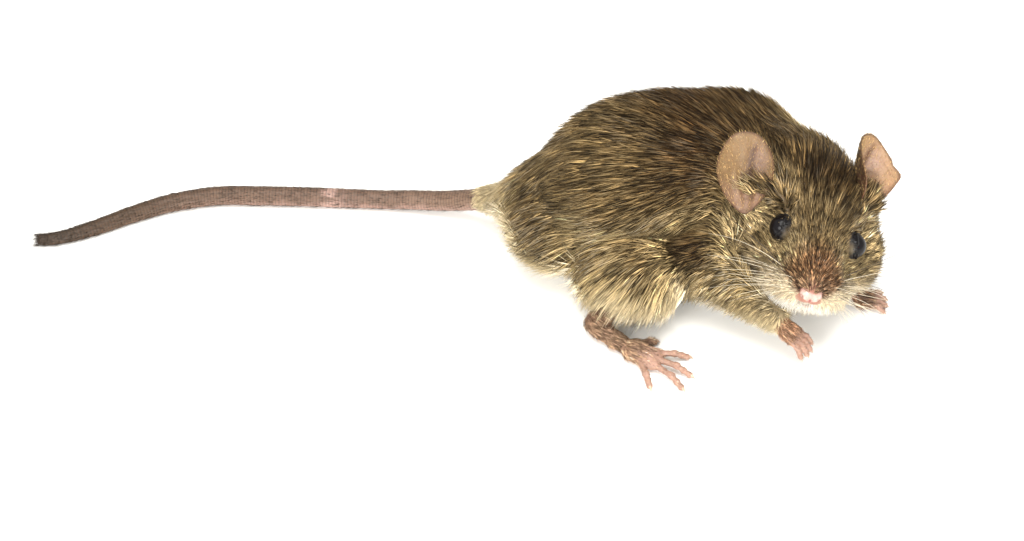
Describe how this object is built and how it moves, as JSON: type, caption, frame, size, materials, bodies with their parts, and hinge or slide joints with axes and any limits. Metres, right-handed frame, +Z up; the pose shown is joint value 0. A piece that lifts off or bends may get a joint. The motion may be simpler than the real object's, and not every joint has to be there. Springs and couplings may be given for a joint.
{
  "type": "house mouse",
  "caption": "Life-size brown house mouse standing still, head turned to its right, one forepaw lifted, thin tail laid out behind.",
  "frame": {"origin": "on the floor under the middle of the model's bounding box", "axes": "+X runs from tail to head along the body, +Y is to the animal's left, +Z is up; the head looks towards -Y"},
  "size_m": [0.1232, 0.047, 0.0246],
  "materials": {
    "coat_dark": "brown agouti fur, matt",
    "coat_pale": "golden to pale buff fur, matt",
    "bare_skin": "thin pink-brown skin with very fine short hair",
    "tail_skin": "ringed grey-brown skin with short dark bristles",
    "eye": "glossy black, clear wet surface"
  },
  "bodies": {
    "root": {"trunk": "coat_dark", "neck": "coat_dark", "head": "coat_dark", "eye_right": "eye", "eye_left": "eye", "ear_right": "bare_skin", "ear_left": "bare_skin", "tail_base": "tail_skin", "tail_middle": "tail_skin", "tail_tip": "tail_skin", "foreleg_right": "coat_pale", "foreleg_left": "coat_pale", "hind_leg_right": "coat_pale", "hind_leg_left": "coat_pale", "hind_foot_right": "bare_skin", "forepaw_right": "bare_skin", "hind_foot_left": "bare_skin", "forepaw_left": "bare_skin"}
  },
  "joints": []
}
